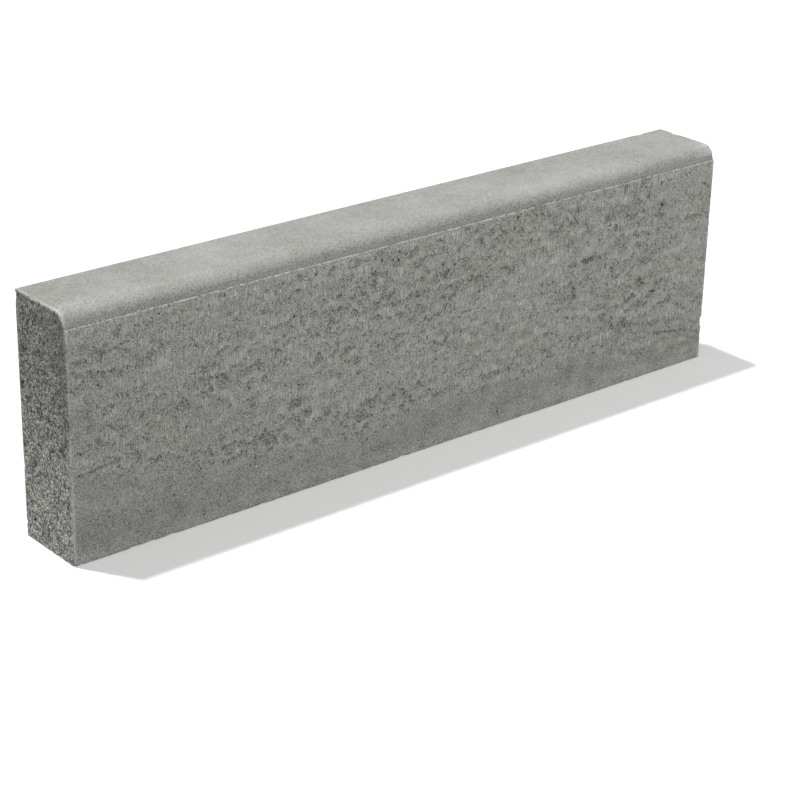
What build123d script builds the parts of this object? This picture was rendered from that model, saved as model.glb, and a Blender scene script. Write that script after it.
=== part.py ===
"""Pressed concrete kerb stone: one metre long, rounded along its top front arris.

Frame: X runs along the kerb, the road side faces -Y, Z is up, and the origin is
the middle of the bed that the kerb stands on. Millimetres.
"""
import os

from build123d import *

# Overall size of the stone
kerb_length = 1000.0
kerb_width = 100.0
kerb_height = 300.0

# Rounded top front arris, shaped by the press head
crown_radius = 16.0
crown_land = 1.0

# Ledge at the foot of the rounding, where the press head met the wall of the mould
ledge_set_back = 2.5
ledge_fall = 2.0
ledge_cove_radius = 1.0

# Arrises left by the mould: the long ones, and the finer ones around both ends
arris_radius = 1.6
end_arris_share = 0.75

# Places that follow from these sizes
front_y = -kerb_width / 2
back_y = kerb_width / 2
crown_y = front_y + ledge_set_back
ledge_top_z = kerb_height - crown_radius - crown_land
ledge_nose_z = ledge_top_z - ledge_fall
end_arris_radius = arris_radius * end_arris_share

with BuildPart() as kerb:
    with BuildSketch(Plane.YZ) as section:
        with BuildLine() as outline:
            FilletPolyline(
                (front_y, 0),
                (front_y, ledge_nose_z),
                (crown_y, ledge_top_z),
                (crown_y, kerb_height),
                (back_y, kerb_height),
                (back_y, 0),
                radius=[
                    arris_radius,
                    arris_radius,
                    ledge_cove_radius,
                    crown_radius,
                    arris_radius,
                    arris_radius,
                ],
                close=True,
            )
        make_face()
    extrude(amount=kerb_length / 2, both=True)
    fillet(kerb.faces().filter_by(Axis.X).edges(), radius=end_arris_radius)

kerb.part.label = "kerb_stone"

os.makedirs("parts", exist_ok=True)
export_step(kerb.part, "parts/kerb_stone.step")
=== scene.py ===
"""Concrete kerb stone: its cast surface, its concrete and a plain stage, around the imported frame.

Everything is in metres, in the frame of the part: X along the kerb, the road side at -Y, Z up.
"""
import math

import bmesh
import bpy
import numpy as np
from bpy.props import FloatProperty, FloatVectorProperty, IntProperty, PointerProperty
from mathutils import Matrix, Vector


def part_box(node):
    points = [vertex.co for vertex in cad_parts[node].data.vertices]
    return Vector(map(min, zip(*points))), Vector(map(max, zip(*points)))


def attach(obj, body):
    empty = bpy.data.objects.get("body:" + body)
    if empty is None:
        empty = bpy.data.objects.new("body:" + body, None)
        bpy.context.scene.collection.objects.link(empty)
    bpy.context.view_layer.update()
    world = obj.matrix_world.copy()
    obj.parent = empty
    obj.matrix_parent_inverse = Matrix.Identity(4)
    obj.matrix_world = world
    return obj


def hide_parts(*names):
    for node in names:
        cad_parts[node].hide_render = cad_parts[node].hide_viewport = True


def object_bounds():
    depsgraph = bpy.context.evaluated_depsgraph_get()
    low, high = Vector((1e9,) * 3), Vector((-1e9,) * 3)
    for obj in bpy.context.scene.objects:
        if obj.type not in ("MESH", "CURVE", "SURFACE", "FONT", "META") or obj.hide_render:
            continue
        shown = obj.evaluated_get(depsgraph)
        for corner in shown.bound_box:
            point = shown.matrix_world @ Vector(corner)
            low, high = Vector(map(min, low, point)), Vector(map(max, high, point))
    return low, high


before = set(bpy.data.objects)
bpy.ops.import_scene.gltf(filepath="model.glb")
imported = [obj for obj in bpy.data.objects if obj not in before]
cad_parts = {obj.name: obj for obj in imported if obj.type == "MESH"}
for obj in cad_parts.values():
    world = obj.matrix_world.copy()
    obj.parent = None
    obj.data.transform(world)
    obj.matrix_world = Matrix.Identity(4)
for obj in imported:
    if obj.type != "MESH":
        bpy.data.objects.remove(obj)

bl_info = {
    "name": "Concrete kerb stone",
    "version": (1, 0, 0),
    "blender": (4, 5, 0),
    "location": "3D View > Sidebar > Kerb",
    "description": "Casts a pressed concrete kerb stone with worn arrises and sets a plain stage for it",
    "category": "Object",
}

MM = 0.001
NODE = "kerb_stone"
WHITE = (1, 1, 1, 1)
CAD_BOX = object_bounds()
STONE_LOW, STONE_HIGH = (np.array(corner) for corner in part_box(NODE))
STONE_SIZE = STONE_HIGH - STONE_LOW

# Values that the mesh stores at each vertex for the concrete
STORED = ("pits", "film", "worn", "end")

# How far inside the CAD box the mesh stays, the sharpest fold that it keeps, the passes that smooth
# sharper ones, and the angle from which an edge is shaded as sharp
TOUCH = 1e-6
FOLD_ANGLE = math.radians(85)
FOLD_PASSES = 20
SHARP_ANGLE = math.radians(50)

# Length of the table of random values behind every noise, a power of two, and the factors that
# spread the corners of a lattice over it
LATTICE_TABLE = 4096
LATTICE_FACTORS = (73856093, 19349663, 83492791)

# Random patterns of the relief: width of the lumps, number added to the stone's seed, and how many
# noises are summed
PATTERNS = {
    "waves": ((130 * MM, 130 * MM, 70 * MM), 0, 2),
    "patches": ((95 * MM, 95 * MM, 42 * MM), 3, 3),
    "holes": ((6 * MM, 6 * MM, 5 * MM), 8, 2),
    "lobe edges": (10 * MM, 14, 3),
    "end grain": (8 * MM, 20, 2),
    "crown": (60 * MM, 30, 1),
    "pit edges": (7 * MM, 40, 1),
    "crumbling": (9 * MM, 50, 3),
    "knock grain": (4 * MM, 55, 2),
    "ledge edge": (11 * MM, 60, 3),
    "ledge breaks": (70 * MM, 64, 2),
    "crumbs": (5 * MM, 66, 1),
    "rubbing": (14 * MM, 70, 2),
}

# How far the edges of lobes and of pits wander, and the number that the lobes add to the stone's seed
LOBE_WANDER = 4.5 * MM
PIT_WANDER = 1.6 * MM
LOBE_SEED = 11

# Pits in the ends: width of their cells, number added to the seed, share of the cells with a pit, depth
END_PITS = (
    (10 * MM, 22, 0.5, 1.0),
    (5.5 * MM, 23, 0.6, 0.7),
)

# Strip without lobes along the bottom of the moulded faces: its height, how much it rises to the smooth
# end and falls to the stained end, and the stretches, as shares of the length, over which it does so
STRIP_HEIGHT = 56 * MM
STRIP_CHANGE = 38 * MM
SMOOTH_END = (0.04, 0.34)
STAINED_END = (0.70, 0.92)

# Relief of the back, as a share of the front's
BACK_SHARE = 0.6

# Knocks that the stone has taken: place as shares of the stone from its low corner, reach, depth.
# Where the depth is below zero, the arris has been spared.
KNOCKS = (
    ((0.0, 0.0, 0.0), 7 * MM, 2.2 * MM),
    ((0.010, 0.0, 0.0), 5 * MM, 2.0 * MM),
    ((0.0, 0.30, 0.0), 8 * MM, 2.4 * MM),
    ((0.0, 1.0, 0.965), 7 * MM, 1.4 * MM),
    ((0.0, 0.66, 1.0), 8 * MM, 1.6 * MM),
    ((0.0, 0.45, 1.0), 7 * MM, 1.2 * MM),
    ((0.0, 0.10, 0.975), 6 * MM, 1.4 * MM),
    ((0.0, 0.0, 0.42), 14 * MM, 1.2 * MM),
    ((0.11, 0.0, 0.0), 50 * MM, 1.3 * MM),
    ((0.47, 0.0, 0.0), 10 * MM, 1.2 * MM),
    ((0.955, 1.0, 1.0), 12 * MM, 1.6 * MM),
    ((1.0, 1.0, 1.0), 26 * MM, -1.6 * MM),
    ((1.0, 0.70, 1.0), 9 * MM, 2.6 * MM),
    ((1.0, 0.0, 0.18), 9 * MM, 1.6 * MM),
    ((1.0, 0.0, 0.0), 12 * MM, -0.8 * MM),
    ((0.31, 1.0, 1.0), 12 * MM, 1.0 * MM),
    ((0.72, 1.0, 0.0), 20 * MM, 2.4 * MM),
    ((1.0, 1.0, 0.0), 12 * MM, 3.6 * MM),
)

# Scratches in the front: both ends, along the stone and up it, and depth
SCRATCHES = (
    ((32 * MM, 250 * MM), (52 * MM, 245 * MM), 1.0 * MM),
    ((52 * MM, 245 * MM), (76 * MM, 253 * MM), 1.0 * MM),
    ((4 * MM, 108 * MM), (66 * MM, 114 * MM), 0.8 * MM),
    ((72 * MM, 118 * MM), (92 * MM, 113 * MM), 0.9 * MM),
    ((915 * MM, 56 * MM), (955 * MM, 50 * MM), 0.9 * MM),
    ((955 * MM, 50 * MM), (992 * MM, 40 * MM), 0.9 * MM),
    ((560 * MM, 170 * MM), (600 * MM, 168 * MM), 0.5 * MM),
)


class KerbSettings(bpy.types.PropertyGroup):
    """Sizes of the stone's section, of its relief and of its mesh."""

    crown_radius: FloatProperty(
        name="Crown radius", description="Rounding of the top front arris",
        default=16 * MM, unit="LENGTH")
    crown_land: FloatProperty(
        name="Crown land", description="Upright stretch below the rounding",
        default=1 * MM, unit="LENGTH")
    ledge_set_back: FloatProperty(
        name="Ledge set-back", description="How far the rounding stands behind the front face",
        default=2.5 * MM, unit="LENGTH")
    ledge_fall: FloatProperty(
        name="Ledge fall", description="Height of the sloping ledge below the rounding",
        default=2 * MM, unit="LENGTH")
    cove_radius: FloatProperty(
        name="Cove radius", description="Hollow between the rounding and the ledge",
        default=1 * MM, unit="LENGTH")
    arris_radius: FloatProperty(
        name="Arris radius", description="Rounding of the long arrises",
        default=1.6 * MM, unit="LENGTH")
    end_arris_radius: FloatProperty(
        name="End arris radius", description="Rounding of the arrises around both ends",
        default=1.2 * MM, unit="LENGTH")
    wave_depth: FloatProperty(
        name="Wave depth", description="Depth of the long waves in the moulded faces",
        default=0.35 * MM, unit="LENGTH")
    lobe_width: FloatProperty(
        name="Lobe width", description="Width of the lobes of paste that were dragged down the mould",
        default=19 * MM, unit="LENGTH")
    lobe_height: FloatProperty(
        name="Lobe height", description="Height of those lobes",
        default=15 * MM, unit="LENGTH")
    film_depth: FloatProperty(
        name="Film depth", description="Step from one lobe of paste to the next",
        default=0.32 * MM, unit="LENGTH")
    pit_depth: FloatProperty(
        name="Pit depth", description="Depth of the deepest pits in the moulded faces",
        default=1.4 * MM, unit="LENGTH")
    end_roughness: FloatProperty(
        name="End roughness", description="Height of the open grain on both ends",
        default=1.2 * MM, unit="LENGTH")
    crumble_depth: FloatProperty(
        name="Crumble depth", description="How deep the arrises have crumbled",
        default=1.3 * MM, unit="LENGTH")
    pitch: FloatProperty(
        name="Grid pitch", description="Spacing of the mesh before it is thinned out",
        default=1.6 * MM, unit="LENGTH")
    triangles: IntProperty(
        name="Triangles", description="Most triangles that the finished stone may have",
        default=196000, min=1000)
    seed: IntProperty(
        name="Seed", description="Start of every random pattern in the stone's relief",
        default=5)


class ConcreteSettings(bpy.types.PropertyGroup):
    """Colours of the concrete, as the linear values that the shader takes."""

    face_colour: FloatVectorProperty(
        name="Moulded face", description="Front and back, where the concrete slid along the mould",
        default=(0.308, 0.313, 0.288), subtype="COLOR", min=0, max=1)
    crown_colour: FloatVectorProperty(
        name="Pressed crown", description="Top and rounding, closed by the press head",
        default=(0.354, 0.358, 0.336), subtype="COLOR", min=0, max=1)
    end_colour: FloatVectorProperty(
        name="Open end", description="Ends, with an open grain",
        default=(0.330, 0.335, 0.309), subtype="COLOR", min=0, max=1)
    # Also the colour of the pale line along the ledge's nose, which is partly a painted highlight.
    worn_and_highlight_colour: FloatVectorProperty(
        name="Worn arris", description="Pale paste and sand where an arris has rubbed",
        default=(0.580, 0.584, 0.555), subtype="COLOR", min=0, max=1)
    warm_tint: FloatVectorProperty(
        name="Warm tint", description="Tint of the warmer patches",
        default=(1.004, 1.0, 0.990), size=3)
    cool_tint: FloatVectorProperty(
        name="Cool tint", description="Tint of the cooler patches",
        default=(0.996, 1.0, 1.011), size=3)
    roughness: FloatProperty(
        name="Roughness", description="Roughness of the dry concrete",
        default=0.88, subtype="FACTOR", min=0, max=1)


class StageSettings(bpy.types.PropertyGroup):
    """Camera, lamps and floor."""

    camera_place: FloatVectorProperty(
        name="Camera place", description="Where the camera stands",
        default=(-1.638, -1.941, 1.174), subtype="TRANSLATION")
    azimuth: FloatProperty(
        name="Azimuth", description="Turn of the camera about Z, zero looking along +Y",
        default=math.radians(-40.30), subtype="ANGLE")
    elevation: FloatProperty(
        name="Elevation", description="Height of the camera above the horizon",
        default=math.radians(23.84), subtype="ANGLE")
    roll: FloatProperty(
        name="Roll", description="Turn of the picture about the line of sight",
        default=math.radians(-1.26), subtype="ANGLE")
    lens: FloatProperty(
        name="Lens", description="Focal length in millimetres",
        default=100.48, min=1)
    sensor_width: FloatProperty(
        name="Sensor width", description="Width of the camera's sensor in millimetres",
        default=36.0, min=1)
    key_from: FloatVectorProperty(
        name="Key from", description="Direction that the key light comes from",
        default=(-0.144, 0.246, 0.958), subtype="DIRECTION")
    key_strength: FloatProperty(
        name="Key strength", description="Light of the key lamp on a face turned to it",
        default=2.5, min=0)
    key_angle: FloatProperty(
        name="Key angle", description="How wide the key light is, which softens its shadow",
        default=math.radians(2.5), subtype="ANGLE")
    fill_place: FloatVectorProperty(
        name="Fill place", description="Where the large soft lamp stands",
        default=(0.55, -2.3, 0.6), subtype="TRANSLATION")
    fill_size: FloatProperty(
        name="Fill size", description="Side of the large soft lamp",
        default=2.4, unit="LENGTH", min=0)
    fill_power: FloatProperty(
        name="Fill power", description="Power of the large soft lamp in watts",
        default=37.0, min=0)
    sky_strength: FloatProperty(
        name="Sky strength", description="Even light from all round",
        default=0.33, min=0)
    floor_size: FloatProperty(
        name="Floor size", description="Side of the floor",
        default=14.0, unit="LENGTH", min=0)
    floor_colour: FloatVectorProperty(
        name="Floor", description="Colour of the floor as it is seen",
        default=(0.85, 0.85, 0.85), subtype="COLOR", min=0, max=1)
    floor_glow: FloatProperty(
        name="Floor glow", description="Light added to the floor as it is seen, so that it looks white",
        default=0.25, min=0)
    floor_bounce: FloatVectorProperty(
        name="Floor bounce", description="Colour of the floor for the light that it sends to the stone",
        default=(0.30, 0.30, 0.30), subtype="COLOR", min=0, max=1)


def smoothstep(low, high, value):
    """Zero below low, one above high, and a smooth rise between."""
    part = np.clip((value - low) / (high - low), 0, 1)
    return part * part * (3 - 2 * part)


def lattice_key(corner):
    """A number for each lattice corner that picks its place in a table of random values."""
    spread = corner * LATTICE_FACTORS
    return (spread[:, 0] ^ spread[:, 1] ^ spread[:, 2]) & (LATTICE_TABLE - 1)


def lattice_noise(points, cell, seed):
    """Smooth noise from -1 to 1: random values at the corners of a lattice, blended between them."""
    place = points / cell
    corner = np.floor(place).astype(np.int64)
    part = place - corner
    part = part * part * (3 - 2 * part)
    table = np.random.default_rng(seed).uniform(-1, 1, LATTICE_TABLE)
    total = np.zeros(len(points))
    for step in np.ndindex(2, 2, 2):
        share = np.prod(np.where(step, part, 1 - part), axis=1)
        total += share * table[lattice_key(corner + step)]
    return total


def fractal_noise(points, cell, seed, octaves):
    """Sum of noises, each with half the cell and half the height of the one before."""
    cell = np.asarray(cell, float)
    return sum(lattice_noise(points, cell / 2**n, seed + n) / 2**n for n in range(octaves))


def pattern(name, points, s, extra=0):
    """One of the stone's random patterns, and with an extra number another of the same kind."""
    cell, number, octaves = PATTERNS[name]
    return fractal_noise(points, cell, s.seed + number + extra, octaves)


def wandered(name, points, reach, s):
    """Points moved by about reach, with a pattern of that name for each axis."""
    moves = [pattern(name, points, s, axis) for axis in range(3)]
    return points + reach * np.stack(moves, axis=1)


def bowl_pits(points, cell, seed, presence):
    """Depth from 0 to 1 of bowl-shaped pits, one at a random place in some cells of a lattice."""
    rng = np.random.default_rng(seed)
    offset = rng.uniform(0.2, 0.8, (LATTICE_TABLE, 3))
    reach = rng.uniform(0.22, 0.5, LATTICE_TABLE)
    chance = rng.uniform(0, 1, LATTICE_TABLE)
    place = points / cell
    corner = np.floor(place).astype(np.int64)
    depth = np.zeros(len(points))
    for step in np.ndindex(3, 3, 3):
        near = corner + step - 1
        key = lattice_key(near)
        apart = ((near + offset[key] - place) ** 2).sum(axis=1) / reach[key] ** 2
        bowl = np.sqrt(np.clip(1 - apart, 0, 1)) * reach[key] * 2
        depth = np.maximum(depth, np.where(chance[key] < presence, bowl, 0))
    return depth


def rounded_loop(corners, radii, arc_steps, run_steps):
    """Points and outward normals of a closed outline that runs clockwise, with an arc at each corner.

    Also gives the place in the list of the middle of each corner's arc.
    """
    corners = np.asarray(corners, float)
    ahead = np.roll(corners, -1, axis=0) - corners
    ahead /= np.linalg.norm(ahead, axis=1)[:, None]
    behind = np.roll(ahead, 1, axis=0)
    cross = behind[:, 0] * ahead[:, 1] - behind[:, 1] * ahead[:, 0]
    turns = np.arctan2(cross, (behind * ahead).sum(axis=1))
    tangents = radii * np.tan(np.abs(turns) / 2)
    starts = corners - behind * tangents[:, None]
    ends = corners + ahead * tangents[:, None]
    points, normals, middles = [], [], []
    for i, turn in enumerate(turns):
        side = -np.sign(turn)
        first = np.array((-behind[i, 1], behind[i, 0]))
        centre = starts[i] - side * radii[i] * first
        middles.append(len(points) + arc_steps[i] // 2)
        for angle in np.linspace(0, turn, arc_steps[i] + 1):
            cos, sin = math.cos(angle), math.sin(angle)
            normal = np.array(((cos, -sin), (sin, cos))) @ first
            points.append(centre + side * radii[i] * normal)
            normals.append(normal)
        goal = starts[(i + 1) % len(corners)]
        for share in np.linspace(0, 1, run_steps[i] + 1)[1:-1]:
            points.append(ends[i] + share * (goal - ends[i]))
            normals.append(normals[-1])
    return np.array(points), np.array(normals), middles


def section_loop(s):
    """The stone's section in Y and Z, from the middle of its bottom front arris, with its normals.

    Also gives the steps of an upright and of a level side.
    """
    front, back = STONE_LOW[1], STONE_HIGH[1]
    bed, top = STONE_LOW[2], STONE_HIGH[2]
    crown_y = front + s.ledge_set_back
    ledge_top = top - s.crown_radius - s.crown_land
    nose = ledge_top - s.ledge_fall
    arris = s.arris_radius
    corners = (
        (front, bed), (front, nose), (crown_y, ledge_top), (crown_y, top), (back, top), (back, bed))
    radii = np.array((arris, arris, s.cove_radius, s.crown_radius, arris, arris))
    arcs = [4, 4, 2, 14, 4, 4]
    ledge_steps, land_steps = 2, 1
    front_steps = round((nose - bed) / s.pitch)
    top_steps = round((back - crown_y - s.crown_radius) / s.pitch)
    upright = front_steps + ledge_steps + land_steps + arcs[0] // 2 + arcs[1] + arcs[2] + arcs[3] // 2
    level = arcs[3] // 2 + top_steps + arcs[4] // 2
    back_steps = upright - arcs[4] // 2 - arcs[5] // 2
    bed_steps = level - arcs[5] // 2 - arcs[0] // 2
    runs = [front_steps, ledge_steps, land_steps, top_steps, back_steps, bed_steps]
    points, normals, middles = rounded_loop(corners, radii, arcs, runs)
    start = -middles[0]
    return np.roll(points, start, axis=0), np.roll(normals, start, axis=0), upright, level


def end_stations(s):
    """Places along X, with the inset and the tilt of the surface at each, rounded over at both ends."""
    tilts = np.radians((90, 60, 30))
    radius = s.end_arris_radius
    run = np.linspace(STONE_LOW[0] + radius, STONE_HIGH[0] - radius, round(STONE_SIZE[0] / s.pitch))
    out = radius * np.sin(tilts)
    x = np.concatenate((run[0] - out, run, (run[-1] + out)[::-1]))
    tilt = np.concatenate((-tilts, np.zeros(len(run)), tilts[::-1]))
    return x, radius * (1 - np.cos(tilt)), tilt


def cap_grid(loop, upright, level):
    """Points that fill an end between the four sides of its outline, as rows from the bed up."""
    count = len(loop)
    front = loop[: upright + 1]
    top = loop[upright : upright + level + 1]
    back = loop[upright + level : 2 * upright + level + 1][::-1]
    bed = loop[-np.arange(level + 1) % count]
    v = np.linspace(0, 1, upright + 1)[:, None, None]
    u = np.linspace(0, 1, level + 1)[None, :, None]
    across = (1 - u) * front[:, None] + u * back[:, None]
    along = (1 - v) * bed[None] + v * top[None]
    corners = (1 - v) * ((1 - u) * bed[0] + u * bed[-1]) + v * ((1 - u) * top[0] + u * top[-1])
    return across + along - corners


def cap_numbers(first, column, upright, level):
    """Vertex numbers of an end's grid: the outline's own vertices at its rim, new ones inside."""
    numbers = np.empty((upright + 1, level + 1), np.int64)
    numbers[:, 0] = column[: upright + 1]
    numbers[-1, :] = column[upright : upright + level + 1]
    numbers[:, -1] = column[upright + level : 2 * upright + level + 1][::-1]
    numbers[0, :] = column[-np.arange(level + 1) % len(column)]
    inside = (upright - 1) * (level - 1)
    numbers[1:-1, 1:-1] = np.arange(first, first + inside).reshape(upright - 1, level - 1)
    return numbers


def quads(numbers):
    """Four-sided faces of a grid of vertex numbers."""
    a, b, c, d = numbers[:-1, :-1], numbers[:-1, 1:], numbers[1:, 1:], numbers[1:, :-1]
    return np.stack((a, b, c, d), axis=-1).reshape(-1, 4)


def plain_stone(s):
    """Vertices, outward normals and faces of the stone before its relief."""
    loop, loop_normals, upright, level = section_loop(s)
    x, inset, tilt = end_stations(s)
    rows, columns = len(loop), len(x)
    points = np.empty((rows, columns, 3))
    points[..., 0] = x
    points[..., 1:] = loop[:, None] - loop_normals[:, None] * inset[None, :, None]
    normals = np.empty_like(points)
    normals[..., 0] = np.sin(tilt)
    normals[..., 1:] = loop_normals[:, None] * np.cos(tilt)[None, :, None]
    numbers = np.arange(rows * columns).reshape(rows, columns)
    all_points, all_normals = [points.reshape(-1, 3)], [normals.reshape(-1, 3)]
    faces = [quads(np.concatenate((numbers, numbers[:1])))]
    first = rows * columns
    for column, side in ((0, -1), (-1, 1)):
        grid = cap_grid(points[:, column, 1:], upright, level)[1:-1, 1:-1].reshape(-1, 2)
        all_points.append(np.column_stack((np.full(len(grid), x[column]), grid)))
        all_normals.append(np.tile((side, 0, 0), (len(grid), 1)))
        cap = cap_numbers(first, numbers[:, column], upright, level)
        faces.append(quads(cap if side > 0 else cap[:, ::-1]))
        first += len(grid)
    return np.concatenate(all_points), np.concatenate(all_normals), np.concatenate(faces)


def paste_lobes(points, s):
    """Lobes of paste dragged down the mould, one around each of many random places.

    Gives the place of each point in its lobe, zero at the lip and one below the lip above, and the
    lobe's weight.
    """
    rng = np.random.default_rng(s.seed + LOBE_SEED)
    offset = rng.uniform(0.1, 0.9, (LATTICE_TABLE, 3))
    weight = rng.uniform(0, 1, LATTICE_TABLE)
    ragged = wandered("lobe edges", points, LOBE_WANDER, s)
    place = ragged / (s.lobe_width, s.lobe_width, s.lobe_height)
    corner = np.floor(place).astype(np.int64)
    nearest = np.full(len(points), np.inf)
    drop, heavy = np.zeros(len(points)), np.zeros(len(points))
    for step in np.ndindex(3, 3, 3):
        near = corner + step - 1
        key = lattice_key(near)
        apart = place - near - offset[key]
        sagged = apart[:, 2] - 0.5 * apart[:, 0] ** 2
        distance = apart[:, 0] ** 2 + apart[:, 1] ** 2 + sagged**2
        closer = distance < nearest
        nearest = np.where(closer, distance, nearest)
        drop = np.where(closer, sagged, drop)
        heavy = np.where(closer, weight[key], heavy)
    return np.clip(0.5 + 0.8 * drop, 0, 1), heavy


def scratch_marks(points):
    """Depth of the scratches in the front at each point."""
    place = points[:, [0, 2]] - STONE_LOW[[0, 2]]
    front = smoothstep(-8 * MM, -2 * MM, STONE_LOW[1] - points[:, 1])
    depth = np.zeros(len(points))
    for first, last, deep in SCRATCHES:
        run = np.subtract(last, first)
        along = np.clip((place - first) @ run / (run @ run), 0, 1)
        apart = np.linalg.norm(place - first - along[:, None] * run, axis=1)
        depth = np.maximum(depth, deep * (1 - smoothstep(0.3 * MM, 1.9 * MM, apart)))
    return depth * front


def moulded_relief(points, bent, crown_foot, s):
    """Relief of the front and back: its depth, how open the surface is, and how much film is on it."""
    high = points[:, 2] - STONE_LOW[2]
    share = (points[:, 0] - STONE_LOW[0]) / STONE_SIZE[0]
    waves = 0.5 + 0.35 * pattern("waves", points, s)
    patches = pattern("patches", points, s)
    smooth_end = 1 - smoothstep(*SMOOTH_END, share)
    stained_end = smoothstep(*STAINED_END, share)
    strip_top = STRIP_HEIGHT + STRIP_CHANGE * smooth_end - STRIP_CHANGE * stained_end - 14 * MM * patches
    lobed = smoothstep(-18 * MM, 18 * MM, high - strip_top) * (1 - 0.3 * smooth_end)
    lobed = lobed * (1 - smoothstep(crown_foot - 8 * MM, crown_foot - 3 * MM, high))

    lobe, heavy = paste_lobes(points, s)
    below_lip = smoothstep(0.5, 0.95, lobe) * (0.1 + 1.05 * heavy)
    film = (1 - smoothstep(0.0, 0.7, lobe)) * (0.4 + 0.8 * heavy)
    film = (film - below_lip * (0.6 + 0.8 * patches)) * lobed
    film_step = s.film_depth * lobe * lobed * (0.3 + 0.9 * heavy) * (1 - 0.5 * stained_end)

    holes = pattern("holes", bent, s)
    sheltered = 0.56 * below_lip * (0.75 + patches) + 0.18 * patches
    sheltered = sheltered * (1 - 0.35 * stained_end)
    pits = lobed * smoothstep(0.47, 1.06, holes + sheltered)
    scratches = scratch_marks(points)
    depth = s.wave_depth * waves + s.pit_depth * pits + film_step + scratches
    open_face = np.maximum(lobed * (0.45 * holes + sheltered), scratches / MM)
    return depth, open_face, film


def open_relief(bent, s):
    """Relief of the ends and the bed: the depth of its open grain, and its pits."""
    grain = np.abs(pattern("end grain", bent, s))
    pits = np.maximum.reduce([
        deep * bowl_pits(bent, cell, s.seed + number, presence)
        for cell, number, presence, deep in END_PITS])
    return s.end_roughness * (0.6 * grain + pits), pits


def surface_relief(points, normals, s):
    """How deep each point lies behind the plain stone, and how pitted, filmed and open its surface is."""
    high = points[:, 2] - STONE_LOW[2]
    behind = points[:, 1] > 0
    crown_foot = STONE_SIZE[2] - np.where(behind, s.arris_radius, s.crown_radius + s.crown_land)
    pressed = smoothstep(crown_foot - 1 * MM, crown_foot + 0.5 * MM, high)
    end = smoothstep(0.5, 0.9, np.abs(normals[:, 0]))
    bed = smoothstep(0.5, 0.9, -normals[:, 2])
    moulded = (1 - pressed) * (1 - end) * (1 - bed)
    rough = np.maximum(end, 0.7 * bed)

    bent = wandered("pit edges", points, PIT_WANDER, s)
    face_depth, open_face, film = moulded_relief(points, bent, crown_foot, s)
    face_depth = face_depth * np.where(behind, BACK_SHARE, 1)
    end_depth, end_pits = open_relief(bent, s)
    crown_depth = 0.12 * MM * (0.5 + 0.5 * pattern("crown", points, s))
    depth = moulded * face_depth + (1 - end) * pressed * crown_depth + rough * end_depth
    rim = smoothstep(0.5 * MM, 6 * MM, rim_distance(points, s))
    pits = (moulded * open_face + rough * end_pits) * rim
    return depth * (0.15 + 0.85 * rim), pits, film * moulded * rim, end


def wear_depth(points, s):
    """How deep the arrises are worn: fine crumbling everywhere, and the knocks."""
    depth = s.crumble_depth * np.clip(0.25 + pattern("crumbling", points, s), 0, None)
    rough = 1 + 0.45 * pattern("knock grain", points, s)
    for share, reach, bite in KNOCKS:
        centre = STONE_LOW + np.array(share) * STONE_SIZE
        apart = np.linalg.norm(points - centre, axis=1) / reach
        depth += bite * rough * np.clip(1 - apart**2, 0, 1)
    return depth


def cut_back(points, worn, level, outward, depth):
    """Cuts back what stands nearer to a sharp arris than depth. Level is the height up to that arris."""
    excess = np.clip(level + depth, 0, None)
    points -= excess[:, None] * outward
    np.maximum(worn, excess, out=worn)


def section_distance(points, s):
    """Distance from the section's outline, negative inside the stone, and the direction out of it."""
    y, z = points[:, 1], points[:, 2]
    sides = np.stack((STONE_LOW[1] - y, y - STONE_HIGH[1], z - STONE_HIGH[2], STONE_LOW[2] - z))
    ways = np.array(((0, -1, 0), (0, 1, 0), (0, 0, 1), (0, 0, -1)), float)
    nearest = sides.argmax(axis=0)
    distance, way = sides.max(axis=0), ways[nearest]
    from_crown = np.stack((y - (STONE_LOW[1] + s.ledge_set_back + s.crown_radius),
                           z - (STONE_HIGH[2] - s.crown_radius)))
    crown = (from_crown[0] < 0) & (from_crown[1] > 0)
    radius = np.linalg.norm(from_crown, axis=0)
    distance = np.where(crown, radius - s.crown_radius, distance)
    round_way = np.stack((np.zeros(len(y)), *(from_crown / np.maximum(radius, MM))), axis=1)
    return distance, np.where(crown[:, None], round_way, way)


def rim_distance(points, s):
    """How far each point on the surface lies from the nearest arris."""
    from_section = -section_distance(points, s)[0]
    from_end = STONE_HIGH[0] - np.abs(points[:, 0])
    return np.maximum(from_section, from_end)


def wear_arrises(points, s):
    """Wears every arris of the stone in place, and gives how worn and rubbed each point is, up to one."""
    lost = np.zeros(len(points))
    depth = wear_depth(points, s)
    half = math.sqrt(0.5)
    for y, z, facing in ((STONE_HIGH[1], STONE_HIGH[2], (0, half, half)),
                         (STONE_HIGH[1], STONE_LOW[2], (0, half, -half)),
                         (STONE_LOW[1], STONE_LOW[2], (0, -half, -half))):
        outward = np.array(facing)
        cut_back(points, lost, (points - (0, y, z)) @ outward, outward, depth)
    distance, way = section_distance(points, s)
    beyond = np.abs(points[:, 0]) - STONE_HIGH[0]
    outward = half * way
    outward[:, 0] = half * np.sign(points[:, 0])
    level = half * (distance + beyond)
    cut_back(points, lost, level, outward, depth)
    high = points[:, 2] - STONE_LOW[2]
    often = 0.95 - 0.75 * smoothstep(90 * MM, 200 * MM, high)
    often = often + 0.6 * smoothstep(255 * MM, 285 * MM, high) + 0.5 * pattern("rubbing", points, s)
    rubbed = smoothstep(-2.3 * MM, -1.0 * MM, level) * np.clip(often, 0, 1)
    return np.clip(np.maximum(0.6 * lost / MM, rubbed), 0, 1)


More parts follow.
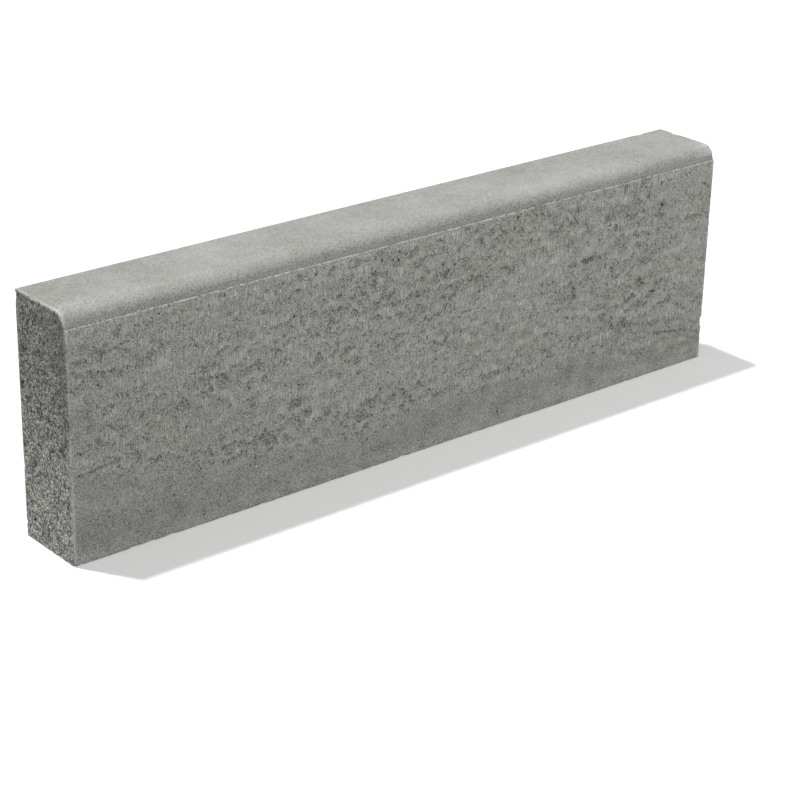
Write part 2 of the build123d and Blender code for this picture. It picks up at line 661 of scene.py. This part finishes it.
def fray_ledge(points, s):
    """Frays the ledge below the rounding: its nose is ragged and broken, and crumbs cling to it."""
    ledge_top = STONE_HIGH[2] - s.crown_radius - s.crown_land
    nose = np.array((0, STONE_LOW[1], ledge_top - s.ledge_fall))
    tilt = math.atan2(s.ledge_set_back, s.ledge_fall) / 2
    outward = np.array((0, -math.cos(tilt), math.sin(tilt)))
    along = points * (1, 0, 0)
    ragged = pattern("ledge edge", along, s)
    broken = smoothstep(0.25, 0.6, pattern("ledge breaks", along, s))
    lost = np.zeros(len(points))
    reach = 4 * MM
    near = np.abs(points[:, 2] - ledge_top) < reach
    front = near & (points[:, 1] < STONE_LOW[1] + reach)
    depth = np.where(front, MM * np.clip(0.25 + 0.55 * ragged + 0.5 * broken, 0, None), 0)
    cut_back(points, lost, np.where(front, (points - nose) @ outward, -1), outward, depth)
    crumbs = smoothstep(0.62, 0.85, pattern("crumbs", along, s))
    close = np.exp(-(((points[:, 2] - ledge_top) / (1.1 * MM)) ** 2)) * front
    points[:, 1] -= 1.0 * MM * crumbs * close


def new_mesh(name, points, faces, values):
    """A mesh from arrays of vertices and four-sided faces, with one named value for each vertex."""
    mesh = bpy.data.meshes.new(name)
    mesh.vertices.add(len(points))
    mesh.vertices.foreach_set("co", points.astype(np.float32).ravel())
    mesh.loops.add(faces.size)
    mesh.loops.foreach_set("vertex_index", faces.astype(np.int32).ravel())
    mesh.polygons.add(len(faces))
    mesh.polygons.foreach_set("loop_start", np.arange(0, faces.size, 4, dtype=np.int32))
    mesh.update(calc_edges=True)
    for value_name, value in values.items():
        attribute = mesh.attributes.new(value_name, "FLOAT", "POINT")
        attribute.data.foreach_set("value", value.astype(np.float32))
    return mesh


def relax_folds(mesh):
    """Smooths the few places where wear or thinning has folded the surface over on itself."""
    surface = bmesh.new()
    surface.from_mesh(mesh)
    for _ in range(FOLD_PASSES):
        folds = [edge for edge in surface.edges if edge.calc_face_angle() > FOLD_ANGLE]
        if not folds:
            break
        loose = list({vertex for edge in folds for face in edge.link_faces for vertex in face.verts})
        bmesh.ops.smooth_vert(
            surface, verts=loose, factor=0.5, use_axis_x=True, use_axis_y=True, use_axis_z=True)
        surface.normal_update()
    surface.to_mesh(mesh)
    surface.free()


def thinned(piece, triangles):
    """The piece's mesh with flat stretches in fewer and larger triangles."""
    count = sum(len(face.vertices) - 2 for face in piece.data.polygons)
    modifier = piece.modifiers.new("thin out", "DECIMATE")
    modifier.use_collapse_triangulate = True
    modifier.ratio = min(1, triangles / count)
    graph = bpy.context.evaluated_depsgraph_get()
    mesh = bpy.data.meshes.new_from_object(piece.evaluated_get(graph), depsgraph=graph)
    piece.modifiers.remove(modifier)
    relax_folds(mesh)
    points = np.empty(len(mesh.vertices) * 3, np.float32)
    mesh.vertices.foreach_get("co", points)
    points = np.clip(points.reshape(-1, 3), STONE_LOW + TOUCH, STONE_HIGH - TOUCH)
    mesh.vertices.foreach_set("co", points.astype(np.float32).ravel())
    mesh.update()
    return mesh


class Wire:
    """An output socket, with maths on its values written as Python's own operators."""

    def __init__(self, recipe, socket):
        self.recipe = recipe
        self.socket = socket

    def maths(self, operation, first, second):
        inputs = {"Value": first, "Value_001": second}
        return self.recipe.node("ShaderNodeMath", {"operation": operation}, inputs)

    def __add__(self, other):
        return self.maths("ADD", self, other)

    def __radd__(self, other):
        return self.maths("ADD", other, self)

    def __sub__(self, other):
        return self.maths("SUBTRACT", self, other)

    def __rsub__(self, other):
        return self.maths("SUBTRACT", other, self)

    def __mul__(self, other):
        return self.maths("MULTIPLY", self, other)

    def __rmul__(self, other):
        return self.maths("MULTIPLY", other, self)

    def __lt__(self, other):
        return self.maths("LESS_THAN", self, other)

    def largest(self, other):
        return self.maths("MAXIMUM", self, other)

    def output(self, name):
        """Another output of the node that this wire comes from."""
        return Wire(self.recipe, self.recipe.socket(self.socket.node.outputs, name))

    def ramp(self, low, high):
        """Zero below low, one above high, and a smooth rise between."""
        inputs = {"Value": self, "From Min": low, "From Max": high, "To Min": 0.0, "To Max": 1.0}
        return self.recipe.node("ShaderNodeMapRange", {"interpolation_type": "SMOOTHSTEP"}, inputs)

    def band(self, start, full, fade, stop):
        """One from full to fade, zero outside start and stop, and smooth between."""
        return self.ramp(start, full) * (1.0 - self.ramp(fade, stop))


class Recipe:
    """A node tree that is written from its start."""

    def __init__(self, tree):
        self.tree = tree
        tree.nodes.clear()

    @staticmethod
    def socket(sockets, name):
        return next(socket for socket in sockets if socket.identifier == name)

    def node(self, kind, settings=None, inputs=None, output=None):
        """Adds a node of that type, sets it up, fills or links its sockets, and gives an output."""
        made = self.tree.nodes.new(kind)
        for name, value in (settings or {}).items():
            setattr(made, name, value)
        for name, value in (inputs or {}).items():
            socket = self.socket(made.inputs, name)
            if isinstance(value, Wire):
                self.tree.links.new(value.socket, socket)
            else:
                socket.default_value = value
        if not made.outputs:
            return None
        return Wire(self, self.socket(made.outputs, output) if output else made.outputs[0])

    def mixed(self, mask, first, second):
        """The first colour where mask is zero and the second where it is one."""
        inputs = {"Factor_Float": mask, "A_Color": first, "B_Color": second}
        return self.node("ShaderNodeMix", {"data_type": "RGBA"}, inputs, "Result_Color")

    def scaled(self, colour, tone):
        """A colour made lighter or darker by a tone about one."""
        inputs = {"Vector": colour, "Scale": tone}
        return self.node("ShaderNodeVectorMath", {"operation": "SCALE"}, inputs, "Vector")

    def lumps(self, place, cell, detail=2.0):
        """Noise about zero with lumps as wide as cell along X, Y and Z."""
        inputs = {"Vector": place, "Vector_001": cell}
        cells = self.node("ShaderNodeVectorMath", {"operation": "DIVIDE"}, inputs, "Vector")
        inputs = {"Vector": cells, "Scale": 1.0, "Detail": detail}
        return self.node("ShaderNodeTexNoise", {}, inputs) - 0.5

    def grains(self, place, cell):
        """Grains about as wide as cell: distance from a grain's middle, and its own value from 0 to 1."""
        inputs = {"Vector": place, "Scale": 1.0 / cell}
        distance = self.node("ShaderNodeTexVoronoi", {}, inputs, "Distance")
        parts = {"Vector": distance.output("Color")}
        return distance, self.node("ShaderNodeSeparateXYZ", {}, parts, "X")

    def dots(self, place, cell, size, shares):
        """For each share, one where a round dot lies in that share of the cells, and zero elsewhere."""
        distance, chance = self.grains(place, cell)
        dot = 1.0 - distance.ramp(0.55 * size, size)
        return [dot * (chance < share) for share in shares]


class ConcreteFields:
    """The noise that all zones of the concrete share, and the values stored on its mesh.

    Places and widths are in millimetres here and in the zones. Tones are shares of a zone's colour.
    """

    def __init__(self, recipe):
        metres = recipe.node("ShaderNodeTexCoord", {}, {}, "Object")
        scale = {"Vector": metres, "Scale": 1 / MM}
        self.place = recipe.node("ShaderNodeVectorMath", {"operation": "SCALE"}, scale, "Vector")
        self.high = recipe.node("ShaderNodeSeparateXYZ", {}, {"Vector": self.place}, "Z")
        self.across = self.high.output("Y")
        self.along = self.high.output("X")
        self.sand = recipe.lumps(self.place, (1.7, 2.8, 1.8), 2.0)
        self.grit = recipe.lumps(self.place, (3.6, 4.6, 3.2), 3.0)
        self.pock = recipe.lumps(self.place, (3.0, 3.6, 3.4), 2.0)
        self.blotch = recipe.lumps(self.place, (11.0, 11.0, 8.0), 1.0)
        self.mottle = recipe.lumps(self.place, (21.0, 21.0, 17.0), 2.0)
        self.drag = recipe.lumps(self.place, (1.6, 1.6, 14.0), 2.0)
        self.cloud = recipe.lumps(self.place, (110.0, 110.0, 30.0), 2.0)
        self.flecks, self.glints = recipe.dots(self.place, 4.4, 0.34, (0.10, 0.012))
        self.from_grain, self.grain = recipe.grains(self.place, 4.6)
        self.ledge_beads_and_highlight = recipe.lumps(self.place, (14.0, 14.0, 60.0), 2.0)
        self.pits, self.film, self.worn, self.end = (
            recipe.node("ShaderNodeAttribute", {"attribute_name": value}, {}, "Fac") for value in STORED)
        self.end = self.end.ramp(0.3, 0.7)


def along_stone(shares):
    """Places along X in millimetres, from shares of the stone's length."""
    return [(STONE_LOW[0] + share * STONE_SIZE[0]) / MM for share in shares]


def moulded_face(f, crown_foot):
    """Tone and height of the front and back: sand, drag streaks, pale film, dark pits and painted light
    along the foot.
    """
    film = (f.film + f.pock * 0.9).ramp(0.10, 0.50)
    pits = (f.pits + f.pock * 1.9 + f.drag * 0.7).ramp(0.34, 0.52)
    pores = (f.pock + f.blotch * 0.26 - film * 0.06).ramp(0.08, 0.26)
    damp = f.along.band(120.0, 260.0, 390.0, 450.0) * f.high.ramp(30.0, 90.0)
    stains = (f.mottle + f.pock * 0.25).ramp(0.02, 0.18) * (0.03 + damp * 0.22)
    fall = f.along.ramp(*along_stone(SMOOTH_END)) + f.along.ramp(*along_stone(STAINED_END))
    strip_top = (STRIP_HEIGHT + STRIP_CHANGE) / MM - fall * (STRIP_CHANGE / MM) - f.cloud * 80.0
    low = 1.0 - (f.high - strip_top).ramp(-17.0, 17.0)
    sparse = (f.pock + f.mottle * 0.5).ramp(0.20, 0.30) * low
    tone = 1.035 + f.sand * (2.6 - film * 1.2 - low * 0.3) + f.drag * (1.0 - low) * (0.8 + film * 1.7)
    tone = tone - f.blotch * 0.25 - f.mottle * (0.22 + low * 0.25) + f.cloud * 0.30
    tone = tone + film * 0.19 - sparse * 0.22
    # Pores and pits are darker in the colour: partly dirt in them, partly painted shade.
    tone = tone + f.flecks * 0.25 + f.glints * 0.7 - pores * 0.20 - pits * 0.27 - stains
    # Painted light: the bottom of the faces is made paler to lift the shade that falls low on them.
    painted_light_foot = 1.0 - f.high.ramp(6.0, 30.0)
    pale_head = f.high.ramp(crown_foot - 28.0, crown_foot)
    tone = tone * (1.0 + painted_light_foot * 0.17 + pale_head * 0.10)
    height = f.sand * 0.7 + f.drag * 0.6 - pores * 0.5 - pits * 0.8
    return tone, height


def pressed_crown(f, crown_foot, crown_top):
    """Tone and height of the top and its rounding: closed and fine, with a painted highlight where the
    rounding begins and painted shade down to the foot.
    """
    pores = (f.pock + f.blotch * 0.2).ramp(0.14, 0.30)
    # Painted highlight: a paler, sandier band along the top where the rounding begins.
    painted_crest_highlight = f.across.band(-39.0, -30.0, -26.0, -8.0)
    # Near the left end that band is paler still, sandier and more flecked: partly rubbed wear, partly a
    # stronger painted highlight.
    rubbed = painted_crest_highlight * (1.0 - f.along.ramp(-490.0, -420.0))
    rounding = 1.0 - f.high.ramp(crown_foot + 4.0, crown_top - 0.5)
    sandy = 1.0 + painted_crest_highlight * 0.3 + rubbed + rounding * 1.1
    tone = 0.99 + painted_crest_highlight * 0.035 + rubbed * 0.08 + f.sand * sandy
    tone = tone + f.cloud * 0.55 + f.mottle * 0.16 + f.blotch * 0.2
    # Pores are darker in the colour: partly dirt in them, partly painted shade.
    tone = tone - pores * 0.16 + f.flecks * (0.16 + rubbed * 0.4)
    # Painted shade: the rounding grows darker down to its foot, where it turns away from the key light.
    tone = tone * (f.high.ramp(crown_foot, crown_top) * 0.11 + 0.89)
    height = f.sand * 0.35 - pores * 0.3
    return tone, height


def open_end(f, crown_top):
    """Tone and height of the ends: coarse, open and full of holes, darker towards the top."""
    pores = (f.pock + f.blotch * 0.3).ramp(0.0, 0.15)
    grains = (0.5 - f.from_grain) * 1.5 + (f.grain - 0.5) * 0.55
    shade = (1.0 - f.across.ramp(-48.0, -14.0)) * f.high.ramp(100.0, 200.0)
    # Darker and less grainy high up towards the front of each end.
    darker_smoother_top = (1.0 - f.across.ramp(-20.0, 14.0)) * f.high.ramp(215.0, 265.0)
    open_grain = grains + f.grit * 0.9 + f.sand * 4.4 - f.blotch * 1.0
    # Pores and pits are darker in the colour: partly dirt in them, partly painted shade.
    open_grain = open_grain - pores * 0.38 - f.pits * 0.25 + f.flecks * 0.6
    tone = 1.22 + open_grain * (1.0 - darker_smoother_top * 0.5) - darker_smoother_top * 0.12
    darker_up = 1.32 - f.high.ramp(0.0, crown_top * 0.8) * 0.44
    tone = tone.largest(0.2) * darker_up * (1.0 - shade * 0.20)
    height = grains * 0.8 + f.sand * 0.7 + f.grit * 0.6 - pores * 0.9
    return tone, height


def ledge_marks(f, ledge_top, ledge_nose):
    """Pale paste along the nose of the ledge, partly a painted highlight, and painted shade in the hollow
    behind it.
    """
    front_face = STONE_LOW[1] / MM
    front = 1.0 - f.across.ramp(front_face + 4.0, front_face + 6.0)
    nose = f.high.band(ledge_nose - 0.7, ledge_nose, ledge_nose + 0.6, ledge_nose + 1.1)
    cove = f.high.band(ledge_nose + 0.5, ledge_nose + 1.0, ledge_top - 0.7, ledge_top)
    ledge_beads_and_highlight = (f.ledge_beads_and_highlight.ramp(-0.06, 0.18) * 0.5 + 0.1) * (1.0 - f.along.ramp(60.0, 420.0) * 0.5)
    return front * nose * ledge_beads_and_highlight, front * cove


def blended(mask, first, second):
    """The first value where mask is zero and the second where it is one."""
    return first + (second - first) * mask


def concrete_finish(name, c, crown_foot, crown_top, ledge_nose):
    """Dry grey concrete: closed on the crown, pored on the faces, open on the ends, pale where worn, with
    painted light and shade on the crown, the faces and the ledge.
    """
    material = bpy.data.materials.new(name)
    material.use_nodes = True
    recipe = Recipe(material.node_tree)
    f = ConcreteFields(recipe)
    front = 1.0 - f.across.ramp(-5.0, 5.0)
    below_arris = f.high.ramp(crown_top - 2.2, crown_top - 1.2)
    pressed = blended(front, below_arris, f.high.ramp(crown_foot - 0.6, crown_foot + 0.4))
    tone, height = moulded_face(f, crown_foot)
    crown_tone, crown_height = pressed_crown(f, crown_foot, crown_top)
    end_tone, end_height = open_end(f, crown_top)
    tone = blended(f.end, blended(pressed, tone, crown_tone), end_tone)
    height = blended(f.end, blended(pressed, height, crown_height), end_height)
    # The nose of the ledge is painted pale, partly paste and partly a painted highlight, and the hollow
    # above it is darkened as painted shade.
    ledge_beads_and_highlight, cove = ledge_marks(f, crown_foot, ledge_nose)
    pale = f.worn.largest(ledge_beads_and_highlight)
    tone = blended(pale, tone * (1.0 - cove * 0.18), 1.0 + f.sand * 0.8)

    colour = recipe.mixed(pressed, (*c.face_colour, 1), (*c.crown_colour, 1))
    colour = recipe.mixed(f.end, colour, (*c.end_colour, 1))
    colour = recipe.mixed(pale, colour, (*c.worn_and_highlight_colour, 1))
    tint = recipe.mixed(f.cloud.ramp(-0.12, 0.12), (*c.warm_tint, 1), (*c.cool_tint, 1))
    product = {"Vector": recipe.scaled(colour, tone), "Vector_001": tint}
    colour = recipe.node("ShaderNodeVectorMath", {"operation": "MULTIPLY"}, product, "Vector")
    bump = {"Strength": 1.0, "Distance": 1 * MM, "Height": height}
    shader = recipe.node("ShaderNodeBsdfPrincipled", {}, {
        "Base Color": colour,
        "Roughness": c.roughness,
        "Specular IOR Level": 0.3,
        "Normal": recipe.node("ShaderNodeBump", {}, bump),
    })
    recipe.node("ShaderNodeOutputMaterial", {}, {"Surface": shader})
    return material


def seen_directly(recipe):
    """One for rays that show the background: from the camera, or mirrored or refracted on the way."""
    seen = recipe.node("ShaderNodeLightPath", {}, {}, "Is Camera Ray")
    return seen.largest(seen.output("Is Glossy Ray")).largest(seen.output("Is Transmission Ray"))


def floor_finish(name, g):
    """A pale floor that keeps the shadow and looks white beside it."""
    material = bpy.data.materials.new(name)
    material.use_nodes = True
    recipe = Recipe(material.node_tree)
    plain = recipe.node("ShaderNodeBsdfDiffuse", {}, {"Color": (*g.floor_bounce, 1)})
    pale = recipe.node("ShaderNodeBsdfDiffuse", {}, {"Color": (*g.floor_colour, 1)})
    glow = recipe.node("ShaderNodeEmission", {}, {"Color": WHITE, "Strength": g.floor_glow})
    shown = recipe.node("ShaderNodeAddShader", {}, {"Shader": pale, "Shader_001": glow})
    mix = {"Fac": seen_directly(recipe), "Shader": plain, "Shader_001": shown}
    surface = recipe.node("ShaderNodeMixShader", {}, mix)
    recipe.node("ShaderNodeOutputMaterial", {}, {"Surface": surface})
    return material


def white_world(g):
    """Even light from all round, seen as white."""
    world = bpy.data.worlds.new("even_light")
    world.use_nodes = True
    recipe = Recipe(world.node_tree)
    light = recipe.node("ShaderNodeBackground", {}, {"Color": WHITE, "Strength": g.sky_strength})
    white = recipe.node("ShaderNodeBackground", {}, {"Color": WHITE, "Strength": 1.0})
    mix = {"Fac": seen_directly(recipe), "Shader": light, "Shader_001": white}
    surface = recipe.node("ShaderNodeMixShader", {}, mix)
    recipe.node("ShaderNodeOutputWorld", {}, {"Surface": surface})
    return world


def placed(name, data, matrix):
    """A new object in the scene at that place."""
    made = bpy.data.objects.new(name, data)
    made.matrix_world = matrix
    bpy.context.scene.collection.objects.link(made)
    return made


def facing(place, back):
    """A place whose local +Z points back, as a lamp's or a camera's does."""
    return Matrix.Translation(place) @ back.to_track_quat("Z", "Y").to_matrix().to_4x4()


class KERB_OT_cast_stone(bpy.types.Operator):
    """Cast the kerb stone with its relief and worn arrises, and give it its concrete"""

    bl_idname = "kerb.cast_stone"
    bl_label = "Cast stone"

    def execute(self, context):
        s = context.scene.kerb_settings
        points, normals, faces = plain_stone(s)
        depth, pits, film, end = surface_relief(points, normals, s)
        points -= depth[:, None] * normals
        fray_ledge(points, s)
        worn = wear_arrises(points, s)
        np.clip(points, STONE_LOW, STONE_HIGH, out=points)
        values = dict(zip(STORED, (pits, film, worn, end)))
        grid = new_mesh("kerb_stone_grid", points, faces, values)
        piece = placed("kerb_stone_cast", grid, Matrix.Identity(4))
        piece.data = thinned(piece, s.triangles)
        piece.data.name = "kerb_stone_cast"
        piece.data.shade_smooth()
        piece.data.set_sharp_from_angle(angle=SHARP_ANGLE)
        crown_top = STONE_SIZE[2] / MM
        crown_foot = crown_top - (s.crown_radius + s.crown_land) / MM
        ledge_nose = crown_foot - s.ledge_fall / MM
        finish = concrete_finish(
            "dry_concrete", context.scene.concrete_settings, crown_foot, crown_top, ledge_nose)
        piece.data.materials.clear()
        piece.data.materials.append(finish)
        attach(piece, "root")
        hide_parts(NODE)
        return {"FINISHED"}


class KERB_OT_set_stage(bpy.types.Operator):
    """Lay a pale floor, hang the lamps and stand the camera at the photograph's angle"""

    bl_idname = "kerb.set_stage"
    bl_label = "Set stage"

    def execute(self, context):
        g = context.scene.stage_settings
        half = g.floor_size / 2
        floor_mesh = bpy.data.meshes.new("floor")
        corners = [(-half, -half, 0), (half, -half, 0), (half, half, 0), (-half, half, 0)]
        floor_mesh.from_pydata(corners, [], [(0, 1, 2, 3)])
        floor_mesh.materials.append(floor_finish("pale_floor", g))
        placed("floor", floor_mesh, Matrix.Identity(4))

        key = bpy.data.lights.new("key", "SUN")
        key.energy = g.key_strength
        key.angle = g.key_angle
        above = Vector((0, 0, 3))
        placed("key", key, facing(above, Vector(g.key_from)))
        fill = bpy.data.lights.new("fill", "AREA")
        fill.energy = g.fill_power
        fill.size = g.fill_size
        centre = (CAD_BOX[0] + CAD_BOX[1]) / 2
        placed("fill", fill, facing(Vector(g.fill_place), Vector(g.fill_place) - centre))
        context.scene.world = white_world(g)

        camera = bpy.data.cameras.new("camera")
        camera.lens = g.lens
        camera.sensor_width = g.sensor_width
        turn = Matrix.Rotation(g.azimuth, 4, "Z") @ Matrix.Rotation(math.pi / 2 - g.elevation, 4, "X")
        turn = turn @ Matrix.Rotation(-g.roll, 4, "Z")
        stand = Matrix.Translation(Vector(g.camera_place))
        context.scene.camera = placed("camera", camera, stand @ turn)
        context.scene.view_settings.view_transform = "Standard"
        return {"FINISHED"}


class KERB_PT_sidebar(bpy.types.Panel):
    """Lists the kerb's steps and sizes"""

    bl_label = "Concrete kerb stone"
    bl_space_type = "VIEW_3D"
    bl_region_type = "UI"
    bl_category = "Kerb"

    def draw(self, context):
        steps = (
            (KERB_OT_cast_stone, "kerb_settings", "concrete_settings"),
            (KERB_OT_set_stage, "stage_settings"),
        )
        for operator, *settings in steps:
            self.layout.operator(operator.bl_idname)
            for group in (getattr(context.scene, name) for name in settings):
                for name in group.__annotations__:
                    self.layout.prop(group, name)


CLASSES = (
    KerbSettings,
    ConcreteSettings,
    StageSettings,
    KERB_OT_cast_stone,
    KERB_OT_set_stage,
    KERB_PT_sidebar,
)


def register():
    for cls in CLASSES:
        bpy.utils.register_class(cls)
    bpy.types.Scene.kerb_settings = PointerProperty(type=KerbSettings)
    bpy.types.Scene.concrete_settings = PointerProperty(type=ConcreteSettings)
    bpy.types.Scene.stage_settings = PointerProperty(type=StageSettings)


def unregister():
    del bpy.types.Scene.stage_settings
    del bpy.types.Scene.concrete_settings
    del bpy.types.Scene.kerb_settings
    for cls in reversed(CLASSES):
        bpy.utils.unregister_class(cls)


def main():
    register()
    bpy.ops.kerb.cast_stone()
    bpy.ops.kerb.set_stage()


if __name__ == "__main__":
    main()
